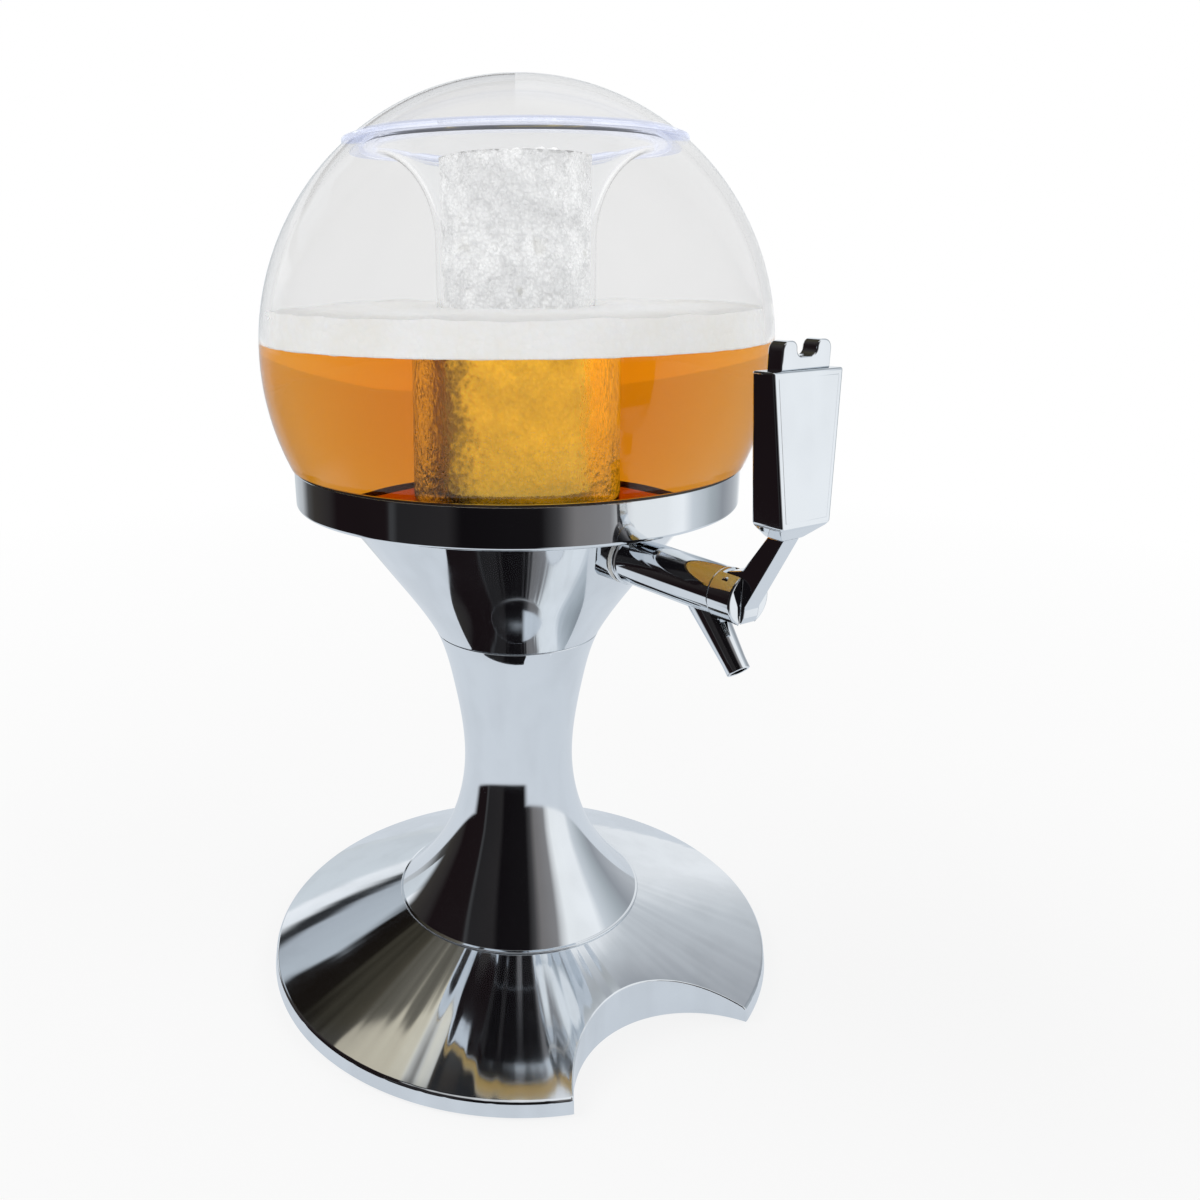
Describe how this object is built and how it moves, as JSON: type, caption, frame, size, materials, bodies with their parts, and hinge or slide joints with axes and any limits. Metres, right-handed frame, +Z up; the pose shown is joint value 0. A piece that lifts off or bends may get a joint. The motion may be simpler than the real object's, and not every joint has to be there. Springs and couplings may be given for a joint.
{
  "type": "draft beer dispenser",
  "caption": "Clear ball of beer with an ice core and a domed lid, in a plated ring on a bell neck, waisted column and round foot with a glass bay, poured by a lever tap.",
  "frame": {"origin": "On the column's axis, in the plane that the rubber feet stand on.", "axes": "+Z up along the column; the tap, its spout and the glass bay point along +X; +Y completes the right-handed frame, and the dispenser is the same on both sides of the XZ plane."},
  "size_m": [0.2844, 0.243, 0.3947],
  "materials": {
    "plated_plastic": "polished",
    "plated_plate": "polished",
    "black_plastic": "satin",
    "black_rubber": "matte",
    "dark_seal": "satin",
    "ballast_iron": "matte",
    "screw_steel": "satin",
    "clear_hose": "gloss",
    "white_plastic": "gloss",
    "clear_plastic": "polished",
    "lilac_seal": "gloss",
    "beer": "polished",
    "foam": "matte",
    "ice": "gloss"
  },
  "bodies": {
    "stand": {"foot_shell": "plated_plastic", "bottom_plate": "black_plastic", "rubber_feet": "black_rubber", "plate_screws": "screw_steel", "ballast_ring": "ballast_iron", "ballast_screws": "screw_steel", "column": "plated_plastic", "column_screws": "screw_steel", "neck_bell": "plated_plastic", "neck_screws": "screw_steel", "collar_ring": "plated_plastic", "ring_screws": "screw_steel", "support_plate": "black_plastic", "floor_gasket": "black_rubber", "lip_seal": "dark_seal", "globe": "clear_plastic", "drain_spigot": "clear_plastic", "outlet_union": "black_plastic", "union_washer": "black_rubber", "feed_hose": "clear_hose", "hose_clamps": "screw_steel", "shank_washer": "screw_steel", "shank_nut": "screw_steel", "tap_washer": "white_plastic", "tap_body": "plated_plastic", "end_ring": "black_rubber", "tap_cap": "plated_plastic", "pivot_pin": "screw_steel", "rod_seal": "black_rubber", "spout": "plated_plastic", "beer": "beer", "foam": "foam"},
    "plunger": {"plunger_rod": "screw_steel", "valve_seal": "black_rubber"},
    "handle": {"lever_arm": "plated_plastic", "handle_paddle": "plated_plastic", "front_plate": "plated_plate", "handle_screw": "screw_steel", "badge_clip": "plated_plastic"},
    "core": {"ice_core": "clear_plastic", "ice": "ice", "lid_seal": "lilac_seal"},
    "lid": {"lid_dome": "clear_plastic"}
  },
  "joints": [
    {"name": "handle_pull", "type": "hinge", "parent": "stand", "child": "handle", "pos_m": [0.1355, 0, 0.2228], "axis": [0, 1, 0], "range_deg": [0, 30]},
    {"name": "plunger_slide", "type": "slide", "parent": "stand", "child": "plunger", "axis": [1, 0, 0], "range_m": [-0.0033, 0]},
    {"name": "ice_core_lift", "type": "slide", "parent": "stand", "child": "core", "axis": [0, 0, 1], "range_m": [0, 0.17]},
    {"name": "lid_lift", "type": "slide", "parent": "core", "child": "lid", "axis": [0, 0, 1], "range_m": [0, 0.09]}
  ],
  "couplings": [
    {"joint": "plunger_slide", "follows": "handle_pull", "m_per_rad": -0.0061}
  ]
}
